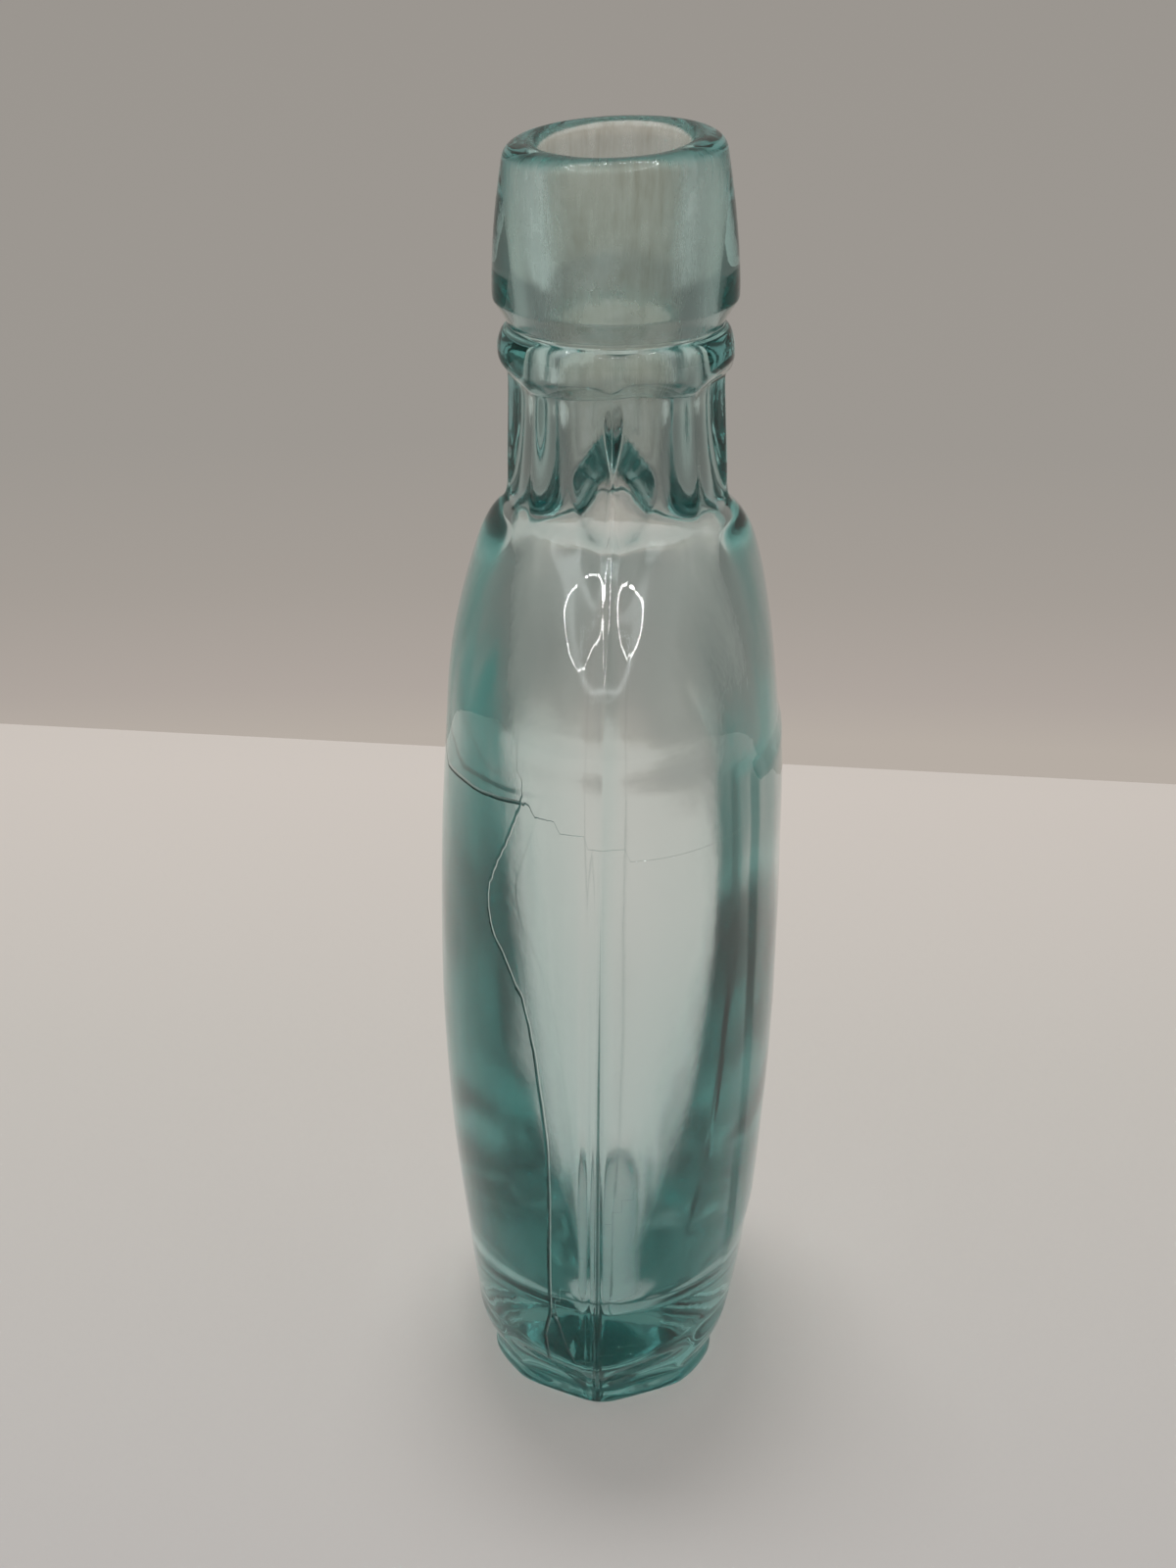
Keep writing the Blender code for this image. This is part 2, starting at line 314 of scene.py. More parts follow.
def inner_walls(height):
    """Half width and half thickness of the cavity."""
    return float(np.interp(height, *INNER_WIDTH_PROFILE)), float(np.interp(height, *INNER_THICKNESS_PROFILE))


def foot_rings():
    """Ring heights and half sizes from the recess out under the foot and up its band."""
    rings = []
    for inset, height in (
        (FOOT_RIM + 0.4 * MM, 0.15 * MM),
        (FOOT_RIM, 0),
        (2.2 * MM, 0),
        (0.6 * MM, 0),
        (0.1 * MM, 0.3 * MM),
        (0, 0.9 * MM),
        (0.05 * MM, FOOT_HEIGHT - 0.5 * MM),
        (FOOT_PROUD, FOOT_HEIGHT),
    ):
        rings.append((height, FOOT_HALF_WIDTH - inset, FOOT_HALF_THICKNESS - inset))
    return rings


def body_rings():
    """Ring heights and half sizes from the foot band to the root of the neck."""
    rings = []
    start_width = FOOT_HALF_WIDTH - FOOT_PROUD
    start_thickness = FOOT_HALF_THICKNESS - FOOT_PROUD
    for height, share in HEEL_CURVE:
        rings.append((
            height * MM,
            start_width + (HEEL_HALF_WIDTH - start_width) * share,
            start_thickness + (HEEL_HALF_THICKNESS - start_thickness) * share,
        ))
    for step in fraction_steps(11):
        height = HEEL_HEIGHT + (WIDEST_HEIGHT - HEEL_HEIGHT) * step
        rings.append((height, *outer_walls(height)))
    for step in fraction_steps(10):
        height = WIDEST_HEIGHT + (ROOT_HEIGHT - WIDEST_HEIGHT) * math.sin(step * math.pi / 2)
        rings.append((height, *outer_walls(height)))
    return rings


def neck_rings():
    """Ring heights and radii from the root of the neck to the top of the lip."""
    rings = []
    for step in fraction_steps(6):
        radius = ROOT_RADIUS + (NECK_RADIUS - ROOT_RADIUS) * step
        rings.append((ROOT_HEIGHT + (NECK_TOP - ROOT_HEIGHT) * step, radius, radius))
    for step in fraction_steps(8):
        turn = step * math.pi
        height = NECK_TOP + (RING_TOP - NECK_TOP) * (1 - math.cos(turn)) / 2
        radius = NECK_RADIUS + (RING_RADIUS - NECK_RADIUS) * math.sin(turn)
        rings.append((height, radius, radius))
    for rise, inset in LIP_CURVE:
        rings.append((RING_TOP + rise * MM, LIP_RADIUS - inset * MM, LIP_RADIUS - inset * MM))
    rim_foot = TOTAL_HEIGHT - RIM_ROUND
    for step in fraction_steps(6):
        radius = LIP_RADIUS - (LIP_RADIUS - LIP_RIM_RADIUS) * (1 - math.cos(step * math.pi / 2))
        rings.append((LIP_WIDEST_HEIGHT + (rim_foot - LIP_WIDEST_HEIGHT) * step, radius, radius))
    for step in fraction_steps(4):
        turn = step * math.pi / 2
        radius = LIP_RIM_RADIUS - RIM_ROUND * (1 - math.cos(turn))
        rings.append((rim_foot + RIM_ROUND * math.sin(turn), radius, radius))
    return rings


def inner_rings():
    """Ring heights and half sizes from the rim down the bore and the inside wall to the floor."""
    rings = []
    for step in fraction_steps(4):
        turn = step * math.pi / 2
        radius = BORE_RADIUS + BORE_ROUND * (1 - math.sin(turn))
        rings.append((TOTAL_HEIGHT - BORE_ROUND * (1 - math.cos(turn)), radius, radius))
    for height, bore in BORE_CURVE:
        radius = bore * MM + FUNNEL_SPREAD * math.exp((BORE_FOOT - height * MM) / FUNNEL_REACH)
        rings.append((height * MM, radius, radius))
    for step in reversed([0] + fraction_steps(8)):
        height = WIDEST_HEIGHT + (BORE_FOOT - WIDEST_HEIGHT) * math.sin(step * math.pi / 2)
        rings.append((height, *inner_walls(height)))
    wall_foot = FLOOR_HEIGHT + INNER_HEEL
    for step in fraction_steps(9):
        height = WIDEST_HEIGHT + (wall_foot - WIDEST_HEIGHT) * step
        rings.append((height, *inner_walls(height)))
    half_width, half_thickness = inner_walls(wall_foot)
    for step in fraction_steps(5):
        turn = step * math.pi / 2
        inward = 1 - math.cos(turn)
        rings.append((FLOOR_HEIGHT + INNER_HEEL * (1 - math.sin(turn)), half_width - INNER_HEEL * inward,
                      half_thickness - INNER_HEEL_SIDE * inward))
    return rings


def draw_skin(name, rings):
    """Extrudes a circle from ring to ring, sizing each one, and closes both ends with a grid of faces."""
    height, half_width, half_thickness = rings[0]
    bpy.ops.object.select_all(action="DESELECT")
    bpy.ops.mesh.primitive_circle_add(vertices=RING_POINTS, radius=1, location=(0, 0, height))
    piece = bpy.context.object
    piece.name = name
    bpy.ops.object.mode_set(mode="EDIT")
    bpy.ops.mesh.select_mode(type="EDGE")
    bpy.ops.mesh.select_all(action="SELECT")
    bpy.ops.transform.resize(value=(half_width, half_thickness, 1), center_override=(0, 0, height))
    bpy.ops.mesh.fill_grid(span=RING_POINTS // 4)
    bpy.ops.mesh.region_to_loop()
    for next_height, next_width, next_thickness in rings[1:]:
        bpy.ops.mesh.extrude_edges_move(
            TRANSFORM_OT_translate={"value": (0, 0, next_height - height)})
        bpy.ops.transform.resize(
            value=(next_width / half_width, next_thickness / half_thickness, 1),
            center_override=(0, 0, next_height))
        height, half_width, half_thickness = next_height, next_width, next_thickness
    bpy.ops.mesh.fill_grid(span=RING_POINTS // 4)
    bpy.ops.mesh.select_all(action="SELECT")
    bpy.ops.mesh.normals_make_consistent(inside=False)
    bpy.ops.object.mode_set(mode="OBJECT")
    bpy.ops.object.transform_apply(location=True, rotation=True, scale=True)
    return piece


def apply_modifier(piece, kind, **settings):
    modifier = piece.modifiers.new(kind.lower(), kind)
    for name, value in settings.items():
        setattr(modifier, name, value)
    bpy.context.view_layer.objects.active = piece
    bpy.ops.object.modifier_apply(modifier=modifier.name)


def read_vectors(items, name):
    """One row of three numbers for each item."""
    values = np.empty(len(items) * 3)
    items.foreach_get(name, values)
    return values.reshape(-1, 3)


def store_values(piece, name, values):
    """Keeps one number for each point, for the material to read."""
    attribute = piece.data.attributes.new(name, "FLOAT", "POINT")
    attribute.data.foreach_set("value", values.astype(np.float32))


def waves(points, length, count, seed):
    """Smooth unevenness about 1 high, from plane waves of about one length in random directions."""
    random = np.random.default_rng(seed)
    total = np.zeros(len(points))
    for _ in range(count):
        direction = random.normal(size=3)
        direction /= np.linalg.norm(direction)
        turn_rate = 2 * math.pi / (length * random.uniform(0.7, 1.5))
        total += np.sin(points @ direction * turn_rate + random.uniform(0, 2 * math.pi))
    return total / math.sqrt(count)


def ring_sizes(rings, heights):
    """Half width and half thickness that the rings give at the heights."""
    table = np.array(sorted(rings))
    return np.interp(heights, table[:, 0], table[:, 1]), np.interp(heights, table[:, 0], table[:, 2])


def panel_reach(turn):
    """How far a polygon of softly rounded corners reaches at an angle, with 1 at its corners."""
    centres = (np.arange(NECK_PANELS) + 0.5) * 2 * math.pi / NECK_PANELS
    facing = np.maximum(np.cos(turn[:, None] - centres), 0) ** PANEL_SOFTNESS
    corner = (2 * math.cos(math.pi / NECK_PANELS) ** PANEL_SOFTNESS) ** (-1 / PANEL_SOFTNESS)
    return facing.sum(axis=1) ** (-1 / PANEL_SOFTNESS) / corner


def off_line(points, line):
    """How far each point is to the left of a line drawn on the skin, or to the right where it is negative."""
    line = np.array(line) * MM
    nearest = np.full(len(points), np.inf)
    signed = np.full(len(points), np.inf)
    for index, (start, end) in enumerate(zip(line, line[1:])):
        run = end - start
        share = (points - start) @ run / (run @ run)
        gap = points - start - np.clip(share, 0, 1)[:, None] * run
        distance = np.linalg.norm(gap, axis=1)
        facing = start * (BODY_HALF_WIDTH ** -2, BODY_HALF_THICKNESS ** -2, 0)
        side = np.where(gap @ np.cross(run, facing) < 0, -1, 1)
        past = (index == 0) & (share < 0) | (index == len(line) - 2) & (share > 1)
        nearer = distance < nearest
        signed = np.where(nearer, np.where(past, distance, distance * side), signed)
        nearest = np.where(nearer, distance, nearest)
    return signed


def section(x, y, z, outside, half_width, half_thickness):
    """Each point's bearing and reach, on an oval body and a round neck with flat panels.

    The oval is a little squarer than an ellipse, and its points are drawn closer together at the seams.
    """
    turn = np.arctan2(y / half_thickness, x / half_width)
    reach = np.hypot(y / half_thickness, x / half_width)
    near_seam = np.exp(-(np.sin(turn) / SEAM_CROWDING_REACH) ** 2)
    turn = turn - SEAM_CROWDING * np.sin(2 * turn) * near_seam * outside
    across, along = np.cos(turn), np.sin(turn)
    squarer = (np.abs(across) ** OVAL_FULLNESS + np.abs(along) ** OVAL_FULLNESS) ** (-1 / OVAL_FULLNESS)
    bodily = np.where(outside > 0.5, 1 - ease(z, 95 * MM, 117 * MM), 1 - ease(z, 85 * MM, BORE_FOOT))
    reach = reach * (1 + (squarer - 1) * bodily)
    panelled = outside * ease(z, 112 * MM, 118.5 * MM) * (1 - ease(z, NECK_TOP, NECK_TOP + 2.5 * MM))
    return turn, reach * (1 + (panel_reach(turn) - 1) * panelled)


def sweep_ends(x, y, z, across, outside, half_width):
    """Sweeps the narrow ends up into the neck, inside and out, and cuts the groove inside the -X end."""
    shoulder = 1 - ease(half_width - ROOT_RADIUS, 0, SWEEP_SHOULDER)
    peak = ROOT_HEIGHT + SWEEP_REACH - SWEEP_DROP * np.maximum(np.abs(y) - MM, 0)
    outer_sweep = (1 - ease(z, peak - SWEEP_FADE, peak)) * shoulder
    inner_sweep = np.where(z > BORE_FOOT, 1 - ease(z, *INNER_SWEEP_TOP), shoulder)
    sweep = np.where(outside > 0.5, SWEEP * outer_sweep, INNER_SWEEP * inner_sweep)
    x = x + sweep * across * np.abs(across)
    groove_width = np.clip((GROOVE_TOP - z) * GROOVE_SPREAD, 0.01 * MM, GROOVE_HALF_WIDTH) * ease(z, *GROOVE_FOOT)
    return x - GROOVE_STEEPNESS * np.maximum(groove_width - np.abs(y), 0) * (1 - outside) * (x < 0)


def shape_foot(x, y, z, outside):
    """Slims the foot's middle and brings it to a blunt point at each seam."""
    low = outside * (1 - ease(z, *FOOT_FADE))
    from_middle = np.abs(x)
    fuller = FOOT_FULLER * ease(from_middle, 5 * MM, 18 * MM) - FOOT_SLIMMER
    fuller = fuller - FOOT_POINTED * ease(from_middle, 25 * MM, 35 * MM)
    return y * (1 + fuller * low) - FOOT_SHIFT * low * ease(from_middle, 15 * MM, 25 * MM)


def shape_belly(y, z, along, outside):
    """Makes the belly less than round: hollower below, fuller at one shoulder and flatter on the other side."""
    hollow = HOLLOW_CHEEK * (1 - ease(z, 42 * MM, 66 * MM))
    hollow = hollow * (1 + np.where(y < 0, 0.5, -1) * ease(z, 15 * MM, 35 * MM))
    y = y - along * hollow * ease(z, *FOOT_FADE)
    y = y + SHOULDER_SWELL * np.exp(-((z - 98 * MM) / (9 * MM)) ** 2) * ease(along, 0, 0.7)
    y = y + BELLY_FLATTER * np.exp(-((z - 68 * MM) / (24 * MM)) ** 2) * ease(-along, 0, 0.7) * outside
    lower_cavity = (1 - outside) * (1 - 0.6 * ease(z, 50 * MM, 95 * MM)) * (1 - ease(z, 95 * MM, 115 * MM))
    return y - CAVITY_SHIFT * lower_cavity


def raise_seams(x, y, z, across, outside, outer_width):
    """Raises the mould seams: a swell, boldest at the shoulder, with fine edges on it, boldest at the foot.

    The narrow ends are set back where that keeps the seams within the flask's size.
    """
    bold = 0.2 + 0.8 * (1 - ease(z, 55 * MM, 95 * MM))
    broad = SEAM_REACH * (1 - 0.25 * ease(z, 102 * MM, 113 * MM))
    swollen = SEAM_SWELL * broad / SEAM_REACH * (0.15 + 0.85 * ease(z, 62 * MM, 100 * MM))
    seamed = outside * ease(z, 0.5 * MM, 2 * MM) * (1 - ease(z, NECK_TOP - 3 * MM, NECK_TOP))
    second_edge = SECOND_EDGE_SHARE * np.exp(-((y - SECOND_EDGE_PLACE) / SECOND_EDGE_REACH) ** 2)
    edge = np.exp(-(y / SEAM_EDGE_REACH) ** 2) + second_edge
    proud = (swollen * np.exp(-(y / broad) ** 2) + SEAM_HEIGHT * bold * edge) * seamed
    set_back = np.maximum(outer_width + SEAM_SWELL + SEAM_HEIGHT - BODY_HALF_WIDTH, 0) * ease(np.abs(across), 0, 1)
    return x + np.sign(x) * (proud - set_back)


def raise_plate(x, y, z, outside, half_thickness, outer_thickness):
    """Raises the plain plate on its broad face, set back where that keeps the plate within the flask's size."""
    on_plate = (
        (1 - ease(np.abs(x), PLATE_HALF_WIDTH - PLATE_EDGE, PLATE_HALF_WIDTH + PLATE_EDGE))
        * ease(z, PLATE_LOW - PLATE_EDGE, PLATE_LOW + PLATE_EDGE)
        * (1 - ease(z, PLATE_HIGH - PLATE_EDGE, PLATE_HIGH + PLATE_EDGE))
    )
    broad_face = outside * ease(-y / half_thickness, 0.2, 0.8)
    set_back = np.maximum(outer_thickness + PLATE_PROUD - BODY_HALF_THICKNESS, 0)
    return y + (set_back - PLATE_PROUD * on_plate) * broad_face


def blown_unevenness(places, along, outside):
    """How far the skin stands out, in millimetres: slight outside where it met the mould, and stronger inside.

    Blown glass is drawn out upwards, and so are its ripples. The side that the flask stands on stays flat.
    """
    drawn = places * (1, 1, 0.3)
    sideways = 0.3 + 0.7 * ease(np.abs(along), 0.2, 0.6)
    swell = (0.03 * waves(places, 16 * MM, 9, 3) + 0.006 * waves(drawn, 4 * MM, 9, 4)) * outside
    swell += (0.1 * waves(drawn, 18 * MM, 9, 5) + 0.02 * waves(drawn, 5 * MM, 9, 6)) * (1 - outside) * sideways
    return swell * ease(places[:, 2], 0.3 * MM, 4 * MM)


def soften(piece, points, outside, in_cavity):
    """Rounds the glass where the shoulder meets the neck, above all inside, and where it turns in to the floor.

    Only the groove inside the -X end keeps its edge.
    """
    x, y, z = points.T
    crisp = (x < 0) * (1 - ease(np.abs(y), 4 * MM, 7 * MM)) * ease(z, 112 * MM, 117 * MM)
    inner_root = (1 - outside) * ease(z, 98 * MM, 108 * MM) * (1 - ease(z, 118 * MM, 127 * MM)) * (1 - 0.85 * crisp)
    outer_root = outside * ease(z, 111 * MM, 115 * MM) * (1 - ease(z, 119 * MM, 123 * MM))
    inner_heel = in_cavity * (1 - ease(z, 17 * MM, 26 * MM))
    weights = inner_root + 0.5 * outer_root + 0.5 * inner_heel
    group = piece.vertex_groups.new(name="softened")
    for index in np.flatnonzero(weights > 0.01):
        group.add([int(index)], float(weights[index]), "REPLACE")
    apply_modifier(piece, "SMOOTH", factor=0.5, iterations=40, vertex_group="softened")
    piece.vertex_groups.clear()


def work_skin(piece):
    """Presses into the skin what the mould and the tools left on the glass."""
    points = read_vectors(piece.data.vertices, "co")
    normals = read_vectors(piece.data.vertices, "normal")
    x, y, z = points.T.copy()
    outward = (normals[:, 0] * x + normals[:, 1] * y) / np.maximum(np.hypot(x, y), MM)
    outside = np.where(z < UNDER_CAVITY, 1.0, ease(outward, -0.2, 0.2))
    in_cavity = np.where(z < UNDER_CAVITY, 0.0, 1 - ease(outward, 0.2, 0.6))
    outer_width, outer_thickness = ring_sizes(foot_rings()[3:] + body_rings() + neck_rings(), z)
    inner_width, inner_thickness = ring_sizes(inner_rings(), z)
    half_width = inner_width + (outer_width - inner_width) * outside
    half_thickness = inner_thickness + (outer_thickness - inner_thickness) * outside

    turn, reach = section(x, y, z, outside, half_width, half_thickness)
    across, along = np.cos(turn), np.sin(turn)
    x, y = reach * half_width * across, reach * half_thickness * along
    x = sweep_ends(x, y, z, across, outside, half_width)
    y = shape_foot(x, y, z, outside)
    y = shape_belly(y, z, along, outside)

    # The molten glass settled deeper at one end of the floor
    z = z - FLOOR_TILT * x * in_cavity * (1 - ease(z, 10 * MM, 35 * MM))

    # Painted shade: a dark line is drawn along the seams' ridges, and fades towards the shoulder
    store_values(piece, "seam", np.abs(y) + OUT_OF_REACH * (1 - outside) + 0.4 * MM * ease(z, 45 * MM, 90 * MM))
    x = raise_seams(x, y, z, across, outside, outer_width)
    y = raise_plate(x, y, z, outside, half_thickness, outer_thickness)

    # The ring sags between the corners of the neck
    sag = 0.5 * np.cos(4 * turn) + 0.25 * np.cos(3 * turn + 0.8) + 0.15 * np.cos(7 * turn + 2)
    ringed = outside * ease(z, NECK_TOP - 2 * MM, NECK_TOP + 0.5 * MM) * (1 - ease(z, NECK_TOP + MM, RING_TOP))
    z = z + RING_SAG * sag * ringed

    places = np.column_stack((x, y, z))
    x, y, z = (places + normals * (blown_unevenness(places, along, outside) * MM)[:, None]).T

    # The neck leans, and the rim is out of level
    leaning = ease(z, LEAN_START - 6 * MM, LEAN_START + 10 * MM) * (z - LEAN_START)
    upright = ease(z, LEAN_START, LEAN_START + 16 * MM)
    topmost = ease(z, 150 * MM, TOTAL_HEIGHT)
    z = z + (LEAN_END * x - LEAN_SIDE * y) * upright * LEAN_SHARE + (RIM_TILT_END * x - RIM_TILT * y) * topmost
    z = z - RIM_DROP * ease(z, 155 * MM, TOTAL_HEIGHT)
    x, y = x - LEAN_END * leaning, y + LEAN_SIDE * leaning

    points = np.column_stack((x, y, z))
    store_values(piece, "inside", 1 - outside)
    for name, line in CRACKS.items():
        store_values(piece, name, off_line(points, line) + OUT_OF_REACH * (1 - outside))
    piece.data.vertices.foreach_set("co", points.ravel())
    piece.data.update()
    soften(piece, points, outside, in_cavity)


def make_flask():
    recess = (RECESS_DEPTH, FOOT_HALF_WIDTH - FOOT_RIM - RECESS_SLOPE,
              FOOT_HALF_THICKNESS - FOOT_RIM - RECESS_SLOPE)
    flask = draw_skin("flask_glass", [recess] + foot_rings() + body_rings() + neck_rings() + inner_rings())
    apply_modifier(flask, "SUBSURF", levels=SKIN_LEVELS, render_levels=SKIN_LEVELS)
    work_skin(flask)
    bpy.ops.object.select_all(action="DESELECT")
    flask.select_set(True)
    bpy.ops.object.shade_smooth()
    return flask


def aqua_glass():
    """Soda-lime bottle glass tinted by iron: pale where it is thin and deep blue-green where it is thick."""
    material = bpy.data.materials.new("aqua_bottle_glass")
    material.use_nodes = True
    tree = material.node_tree
    shader = tree.nodes["Principled BSDF"]
    shader.inputs["IOR"].default_value = 1.52
    shader.inputs["Transmission Weight"].default_value = 1.0
    inside = add_node(tree, "ShaderNodeAttribute", {"attribute_name": "inside"}).outputs["Fac"]
    place = add_node(tree, "ShaderNodeTexCoord").outputs["Object"]
    height = add_node(tree, "ShaderNodeSeparateXYZ", links={"Vector": place}).outputs["Z"]

    # A film dries in the bore below the rim, in streaks about 1 mm wide, drawn out upwards by the tools, and in
    # patches about 8 mm across
    in_bore = add_node(tree, "ShaderNodeMapRange", {"From Min": 115 * MM, "From Max": 135 * MM}, {"Value": height})
    below_rim = add_node(tree, "ShaderNodeMapRange", {"From Min": 0.75, "From Max": 1.0}, {"Value": inside})
    drawn = add_node(tree, "ShaderNodeMapping", {"Scale": (1, 1, 0.12)}, {"Vector": place})
    streaks = add_node(tree, "ShaderNodeTexNoise", {"Scale": 900.0, "Detail": 4.0, "Roughness": 0.65},
                       {"Vector": drawn.outputs["Vector"]})
    streaky = add_node(tree, "ShaderNodeMapRange", {"From Min": 0.35, "From Max": 0.65, "To Min": 0.3},
                       {"Value": streaks.outputs["Fac"]})
    patches = add_node(tree, "ShaderNodeTexNoise", {"Scale": 130.0, "Detail": 3.0, "Roughness": 0.6},
                       {"Vector": place})
    patchy = add_node(tree, "ShaderNodeMapRange", {"From Min": 0.38, "From Max": 0.62, "To Min": 0.25},
                      {"Value": patches.outputs["Fac"]})
    film = inside
    for share in (in_bore, below_rim, streaky, patchy):
        film = add_node(tree, "ShaderNodeMath", {"operation": "MULTIPLY"},
                        {0: film, 1: share.outputs["Result"]}).outputs["Value"]

    # The inside is duller than the outside, by its wear at each height and by the film
    way_up = add_node(tree, "ShaderNodeMapRange", {"From Min": WEAR_LOW, "From Max": WEAR_HIGH}, {"Value": height})
    stops = [((level * MM - WEAR_LOW) / (WEAR_HIGH - WEAR_LOW), grey(wear)) for level, wear in WEAR]
    steady = add_node(tree, "ShaderNodeValToRGB", {"stops": stops}, {"Fac": way_up.outputs["Result"]})
    worn = add_node(tree, "ShaderNodeMath", {"operation": "MULTIPLY_ADD"},
                    {0: inside, 1: steady.outputs["Color"], 2: film})
    roughness = add_node(tree, "ShaderNodeValToRGB", {"stops": [(0, grey(SMOOTHEST)), (1, grey(DULLEST))]},
                         {"Fac": worn.outputs["Value"]})
    haze = add_node(tree, "ShaderNodeValToRGB",
                    {"stops": [(0, srgb("#FEFEFE")), (0.3, srgb("#F1EFEA")), (1, srgb("#C6BFB3"))]}, {"Fac": film})

    # The outside is faintly dimpled, about 1.5 mm from dimple to dimple
    dimples = add_node(tree, "ShaderNodeTexNoise", {"Scale": 650.0, "Detail": 3.0}, {"Vector": place})
    peel = add_node(tree, "ShaderNodeBump", {"Strength": 1.0, "Distance": 0.008 * MM},
                    {"Height": dimples.outputs["Fac"]})
    relief = add_node(tree, "ShaderNodeBump", {"Strength": 0.22, "Distance": 0.2 * MM},
                      {"Height": film, "Normal": peel.outputs["Normal"]})

    # The crack is a dark hairline with a raised side that catches the light, and the seams get a dark line drawn
    # likewise, which is painted shade along their ridges
    lines = []
    for name in (*CRACKS, "seam"):
        off = add_node(tree, "ShaderNodeAttribute", {"attribute_name": name})
        away = add_node(tree, "ShaderNodeMath", {"operation": "ABSOLUTE"}, {0: off.outputs["Fac"]})
        line = add_node(tree, "ShaderNodeMapRange", {"From Min": HAIRLINE_EDGE, "From Max": HAIRLINE_CORE},
                        {"Value": away.outputs["Value"]})
        lines.append(line.outputs["Result"])
    hairline = lines[0]
    for line in lines[1:]:
        hairline = add_node(tree, "ShaderNodeMath", {"operation": "MAXIMUM"},
                            {0: hairline, 1: line}).outputs["Value"]
    # Along the seams this dark colour is painted shade
    dark = add_node(tree, "ShaderNodeMix", {"data_type": "RGBA", 7: srgb("#3C6663")},
                    {0: hairline, 6: haze.outputs["Color"]})
    cracked = add_node(tree, "ShaderNodeBump", {"Strength": 1.0, "Distance": 0.2 * MM, "invert": True},
                       {"Height": hairline, "Normal": relief.outputs["Normal"]})

    tree.links.new(dark.outputs[2], shader.inputs["Base Color"])
    tree.links.new(roughness.outputs["Color"], shader.inputs["Roughness"])
    tree.links.new(cracked.outputs["Normal"], shader.inputs["Normal"])

    # The tint is in the glass itself, so it deepens with the thickness that light crosses
    tint = add_node(tree, "ShaderNodeVolumeAbsorption", {"Color": srgb("#38D0CD"), "Density": 29.0})
    tree.links.new(tint.outputs["Volume"], tree.nodes["Material Output"].inputs["Volume"])
    return material


def add_camera():
    data = bpy.data.cameras.new("camera")
    camera = bpy.data.objects.new("camera", data)
    bpy.context.scene.collection.objects.link(camera)
    data.sensor_width = SENSOR_WIDTH
    data.lens = SENSOR_WIDTH * FOCAL_SHARE
    yaw = Matrix.Rotation(-math.pi / 2 + CAMERA_TURN + CAMERA_PAN, 4, "Z")
    pitch = Matrix.Rotation(math.pi / 2 - CAMERA_PITCH, 4, "X")
    roll = Matrix.Rotation(CAMERA_ROLL, 4, "Z")
    place = Matrix.Translation((
        -CAMERA_DISTANCE * math.cos(CAMERA_TURN),
        -CAMERA_DISTANCE * math.sin(CAMERA_TURN),
        CAMERA_HEIGHT,
    ))
    camera.matrix_world = place @ yaw @ pitch @ roll
    bpy.context.scene.camera = camera


def add_floor():
    """Pale matt card that gets a little darker towards the camera, as it does away from a light at the back."""
    bpy.ops.object.select_all(action="DESELECT")
    bpy.ops.mesh.primitive_plane_add(size=FLOOR_SIZE)
    floor = bpy.context.object
    floor.name = "floor"
    turn = Matrix.Rotation(CAMERA_TURN - FLOOR_SLANT, 4, "Z")
    floor.matrix_world = turn @ Matrix.Translation((FLOOR_BEHIND - FLOOR_SIZE / 2, 0, -FLOOR_GAP))
    bpy.ops.object.transform_apply(location=True, rotation=True, scale=True)
    material = bpy.data.materials.new("floor_card")
    material.use_nodes = True
    tree = material.node_tree
    shader = tree.nodes["Principled BSDF"]
    shader.inputs["Roughness"].default_value = 0.7
    place = add_node(tree, "ShaderNodeTexCoord")
    along = add_node(tree, "ShaderNodeSeparateXYZ", links={"Vector": place.outputs["Object"]})
    share = add_node(tree, "ShaderNodeMapRange", {"From Min": -80 * MM, "From Max": 220 * MM},
                     {"Value": along.outputs["X"]})
    color = add_node(tree, "ShaderNodeValToRGB",
                     {"stops": [(0, srgb("#BFBBB8")), (0.55, srgb("#C5C0BA")), (1, srgb("#D0C8C1"))]},
                     {"Fac": share.outputs["Result"]})
    tree.links.new(color.outputs["Color"], shader.inputs["Base Color"])
    floor.data.materials.append(material)


def add_lamp(name, place, size, power):
    data = bpy.data.lights.new(name, "AREA")
    data.shape = "DISK"
    data.size = size
    data.energy = power
    lamp = bpy.data.objects.new(name, data)
    bpy.context.scene.collection.objects.link(lamp)
    lamp.location = place
    return lamp


def add_lamps():
    """Soft panels overhead, and a ring of small lamps that shows in the glass as rings of bright dots.

    Clear glass casts a far paler shadow than path tracing gives it, so most of the light casts none.
    """
    panel = add_lamp("soft_panel", PANEL_PLACE, PANEL_SIZE, PANEL_POWER)
    fill = add_lamp("fill_panel", PANEL_PLACE, PANEL_SIZE, FILL_POWER)
    fill.data.use_shadow = False
    for soft in (panel, fill):
        soft.visible_glossy = False
        soft.visible_transmission = False
    for index in range(LED_COUNT):
        turn = 2 * math.pi * index / LED_COUNT
        place = Vector(LED_PLACE) + Vector((LED_RING[0] * math.cos(turn), LED_RING[1] * math.sin(turn), 0))
        lamp = add_lamp(f"ring_lamp_{index:03d}", place, LED_SIZE, LED_POWER)
        lamp.data.use_shadow = False


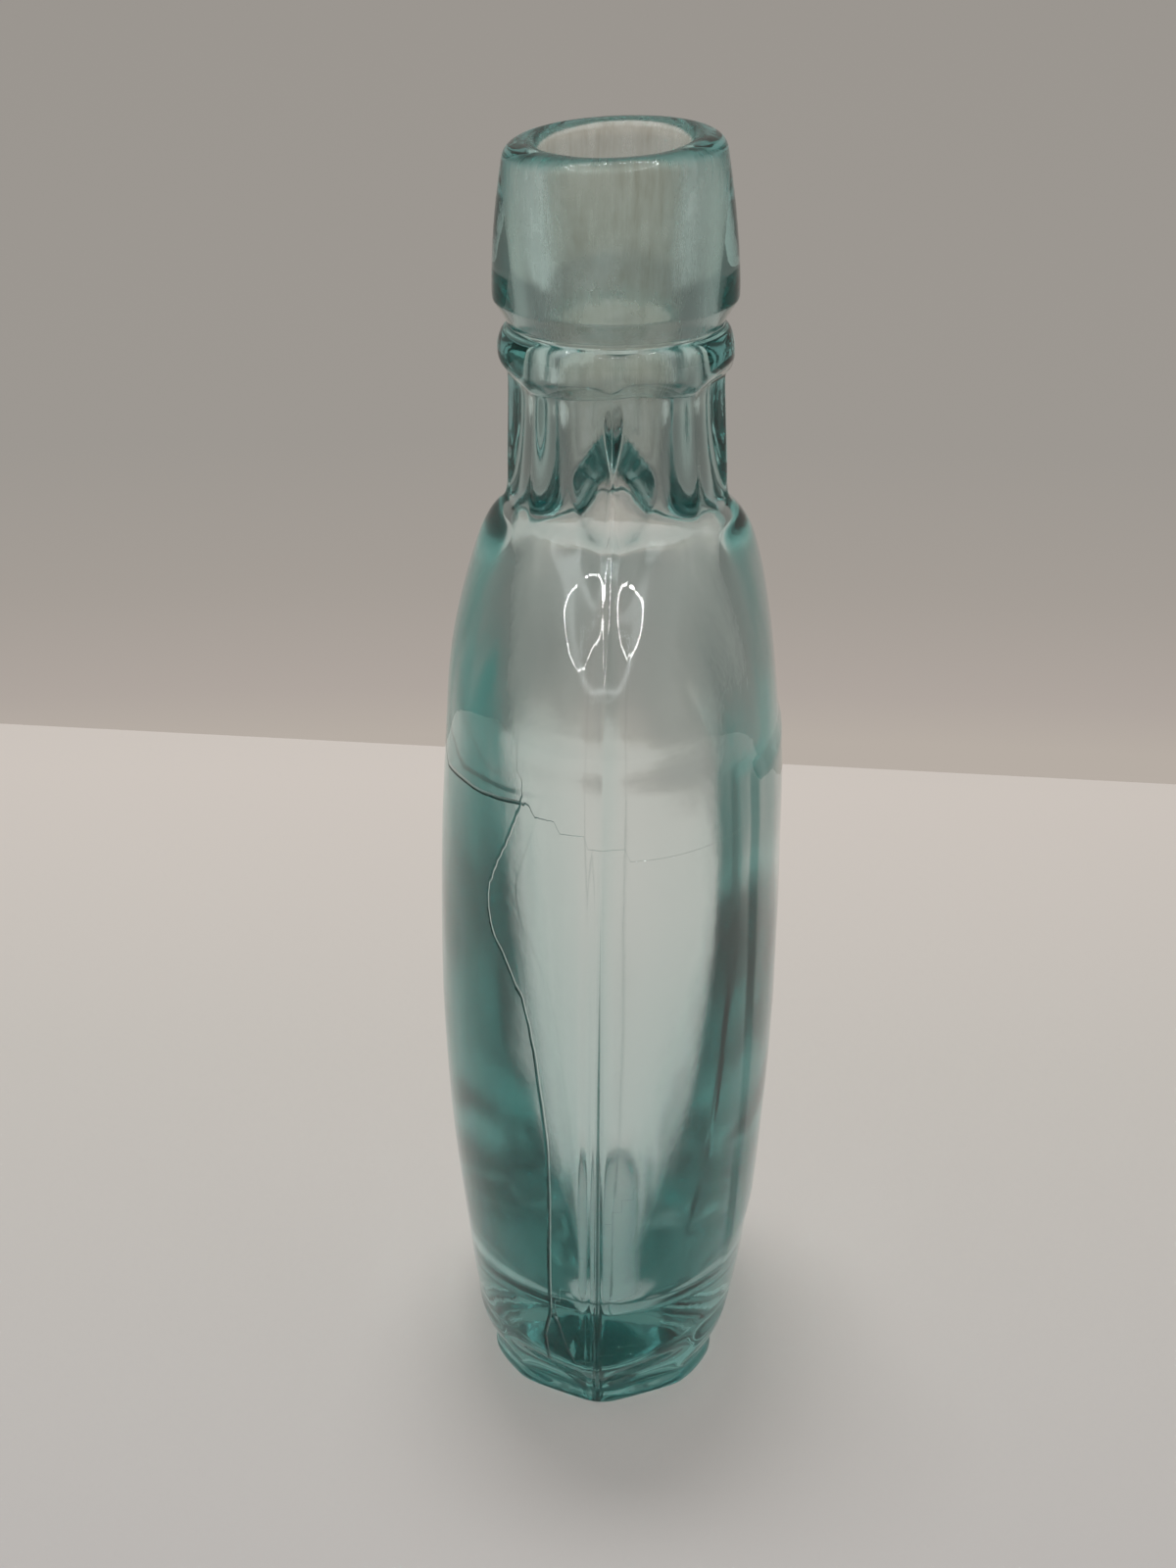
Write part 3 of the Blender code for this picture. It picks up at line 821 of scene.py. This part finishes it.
def add_world():
    """Pale backdrop, brightest just above the floor's far edge, under a ceiling that is about as pale."""
    world = bpy.data.worlds.new("studio")
    bpy.context.scene.world = world
    world.use_nodes = True
    tree = world.node_tree
    backdrop = tree.nodes["Background"]
    place = add_node(tree, "ShaderNodeTexCoord")
    along = add_node(tree, "ShaderNodeSeparateXYZ", links={"Vector": place.outputs["Generated"]})
    share = add_node(tree, "ShaderNodeMapRange", {"From Min": BACKDROP_LOW, "From Max": BACKDROP_HIGH},
                     {"Value": along.outputs["Z"]})
    stops = [((rise - BACKDROP_LOW) / (BACKDROP_HIGH - BACKDROP_LOW), srgb(code)) for rise, code in BACKDROP]
    color = add_node(tree, "ShaderNodeValToRGB", {"stops": stops}, {"Fac": share.outputs["Result"]})
    tree.links.new(color.outputs["Color"], backdrop.inputs["Color"])

    # The backdrop stands behind the flask only, so the room is darker to the sides and behind the camera
    bearing = add_node(tree, "ShaderNodeMath", {"operation": "ARCTAN2"},
                       {0: along.outputs["Y"], 1: along.outputs["X"]})
    off_axis = add_node(tree, "ShaderNodeMath", {"operation": "ABSOLUTE"}, {0: bearing.outputs["Value"]})
    turned = add_node(tree, "ShaderNodeMapRange", {"From Max": math.pi}, {"Value": off_axis.outputs["Value"]})
    stops = [(degrees / 180, grey(level)) for degrees, level in BACKDROP_STRENGTH]
    strength = add_node(tree, "ShaderNodeValToRGB", {"stops": stops}, {"Fac": turned.outputs["Result"]})
    tree.links.new(strength.outputs["Color"], backdrop.inputs["Strength"])

    # The room itself is dimmer than the backdrop that the camera and the glass see
    room = add_node(tree, "ShaderNodeBackground", {"Color": srgb(ROOM_COLOR)})
    path = add_node(tree, "ShaderNodeLightPath")
    seen = path.outputs["Is Camera Ray"]
    for ray in ("Is Glossy Ray", "Is Transmission Ray"):
        seen = add_node(tree, "ShaderNodeMath", {"operation": "MAXIMUM"},
                        {0: seen, 1: path.outputs[ray]}).outputs["Value"]
    mix = add_node(tree, "ShaderNodeMixShader",
                   links={0: seen, 1: room.outputs["Background"], 2: backdrop.outputs["Background"]})
    tree.links.new(mix.outputs["Shader"], tree.nodes["World Output"].inputs["Surface"])


def set_light_paths():
    """Light crosses thick glass many times by inner reflection, so its paths need more turns than usual."""
    paths = bpy.context.scene.cycles
    paths.max_bounces = 24
    paths.glossy_bounces = 20
    paths.transmission_bounces = 24
    paths.blur_glossy = 0.0


flask = make_flask()
glass = aqua_glass()
flask.data.materials.append(glass)
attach(flask, "root")
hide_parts("flask_body", "neck_ring", "applied_lip")
add_camera()
add_floor()
add_world()
add_lamps()
set_light_paths()
bpy.context.scene.view_settings.view_transform = "Standard"
